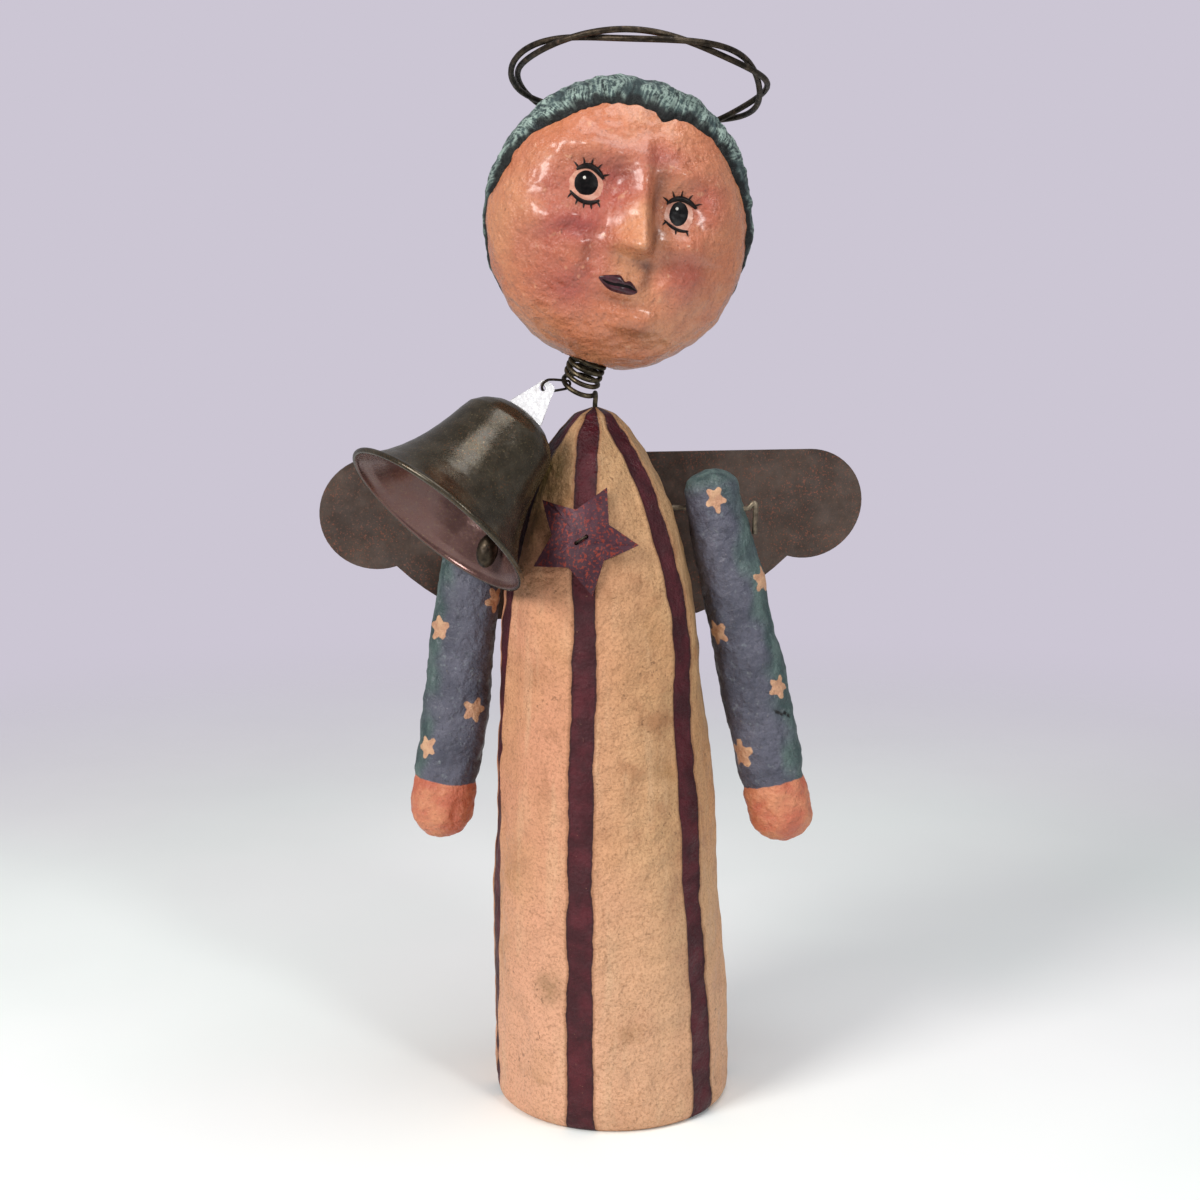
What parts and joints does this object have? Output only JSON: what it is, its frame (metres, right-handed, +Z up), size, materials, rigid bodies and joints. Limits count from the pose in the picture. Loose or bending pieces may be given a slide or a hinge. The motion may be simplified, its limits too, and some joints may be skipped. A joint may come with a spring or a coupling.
{
  "type": "papier-mache angel doll",
  "caption": "standing folk angel doll with a tapered round body, a head on a coil-spring neck, wire-hung arms, a flat tin wing, a wire halo and a hanging bell",
  "frame": {"origin": "middle of the flat foot, on the surface the doll stands on", "axes": "+Z up, the face and the star look along -Y, +X is the viewer's right"},
  "size_m": [0.1864, 0.1089, 0.3502],
  "materials": {
    "body_paint": "painted papier-mache, matt cream with burgundy stripes, worn",
    "flesh_paint": "painted and varnished papier-mache, peach with rose cheeks",
    "hair_paint": "dark teal-grey brushed paint",
    "sleeve_paint": "slate-blue brushed paint, flesh-coloured hands",
    "card": "plain grey-brown card",
    "wood": "bare turned wood",
    "spring_steel": "dark oiled spring wire",
    "black_wire": "annealed black iron wire",
    "grey_wire": "dull galvanised wire",
    "rusty_tin": "brown-black rusted sheet",
    "star_tin": "plum paint over rusted sheet",
    "rusty_bronze": "dark olive-brown rusted sheet metal",
    "bright_tin": "worn bright tin"
  },
  "bodies": {
    "torso": {"body_shell": "body_paint", "base_disc": "card", "neck_block": "wood", "arm_wire": "grey_wire", "wing_sheet": "rusty_tin", "wing_staple_upper": "grey_wire", "wing_staple_lower": "grey_wire", "chest_star": "star_tin", "star_staple": "grey_wire"},
    "neck": {"neck_spring": "spring_steel"},
    "head": {"head_shell": "flesh_paint", "hair_cap": "hair_paint", "halo_wire": "black_wire", "head_plug": "wood"},
    "right_arm": {"right_arm": "sleeve_paint"},
    "left_arm": {"left_arm": "sleeve_paint"},
    "bell": {"bell_link": "black_wire", "bell_cup": "rusty_bronze", "bell_hanger": "bright_tin"},
    "clapper": {"clapper_wire": "black_wire", "clapper_bob": "rusty_bronze"}
  },
  "joints": [
    {"name": "head_nod", "type": "hinge", "parent": "torso", "child": "neck", "pos_m": [-0.0095, -0.0055, 0.24591], "axis": [1, 0, 0], "range_deg": [-18, 18], "stiffness_Nm_per_rad": 0.34, "deforming": ["neck_spring"]},
    {"name": "head_tilt", "type": "hinge", "parent": "neck", "child": "head", "pos_m": [-0.0095, -0.0055, 0.24591], "axis": [0, 1, 0], "range_deg": [-20, 12], "stiffness_Nm_per_rad": 0.34, "springref_deg": -1.78, "deforming": ["neck_spring"]},
    {"name": "right_arm_swing", "type": "hinge", "parent": "torso", "child": "right_arm", "pos_m": [0.03405, 0.00047, 0.202], "axis": [-0.9976, 0.0698, 0], "range_deg": [-35, 120]},
    {"name": "left_arm_swing", "type": "hinge", "parent": "torso", "child": "left_arm", "pos_m": [-0.04416, 0.00593, 0.202], "axis": [-0.9976, 0.0698, 0], "range_deg": [-10, 11]},
    {"name": "bell_swing", "type": "hinge", "parent": "torso", "child": "bell", "pos_m": [-0.01526, -0.0085, 0.24312], "axis": [-0.5446, 0.8387, 0], "range_deg": [0, 30]},
    {"name": "clapper_swing", "type": "hinge", "parent": "bell", "child": "clapper", "pos_m": [-0.03233, -0.01797, 0.22953], "axis": [-0.5446, 0.8387, 0], "range_deg": [0, 54]}
  ]
}
